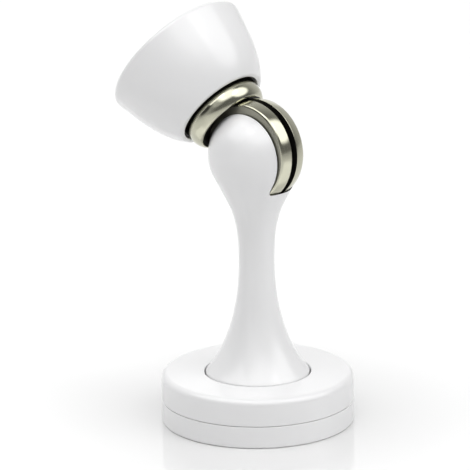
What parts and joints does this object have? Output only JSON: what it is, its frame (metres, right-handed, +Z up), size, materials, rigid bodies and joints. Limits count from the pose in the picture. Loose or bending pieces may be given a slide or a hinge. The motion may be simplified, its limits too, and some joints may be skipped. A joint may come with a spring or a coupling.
{
  "type": "magnetic door stop",
  "caption": "Floor door stop with a round base, waisted stem and a tilting magnet head, shown holding its bell-shaped door catch with a sprung strike plate.",
  "frame": {"origin": "centre of the base's underside, on the stem's axis", "axes": "+Z up the stem, Y along the head's pivot, and the head stored leaning towards -X"},
  "size_m": [0.064, 0.05, 0.1084],
  "materials": {
    "white_enamel": "smooth gloss white enamel over a zinc casting",
    "satin_nickel": "satin nickel plate with fine turning marks",
    "plain_steel": "bright zinc-plated steel",
    "magnet_plating": "nickel-plated magnet",
    "black_rubber": "matt black rubber",
    "nylon": "matt dark nylon"
  },
  "bodies": {
    "stand": {"base_plate": "white_enamel", "base_cover": "white_enamel", "stem": "white_enamel", "pivot_screw": "plain_steel", "friction_washers": "nylon"},
    "head": {"magnet_holder": "satin_nickel", "magnet_pot": "plain_steel", "magnet": "magnet_plating"},
    "catch": {"catch_cup": "white_enamel", "mouth_buffer": "black_rubber", "door_plate": "plain_steel", "buffer_spring": "plain_steel"},
    "strike": {"strike_plate": "plain_steel", "rod_clip": "plain_steel"}
  },
  "joints": [
    {"name": "head_tilt", "type": "hinge", "parent": "stand", "child": "head", "pos_m": [0, 0, 0.072], "axis": [0, 1, 0], "range_deg": [-38, 142]},
    {"name": "catch_release", "type": "slide", "parent": "head", "child": "catch", "axis": [-0.788, 0, 0.6157], "range_m": [0, 0.04]},
    {"name": "strike_buffer", "type": "slide", "parent": "catch", "child": "strike", "axis": [-0.788, 0, 0.6157], "range_m": [0, 0.0025], "stiffness_N_per_m": 1200, "springref_m": -0.0025, "deforming": ["buffer_spring"]}
  ]
}
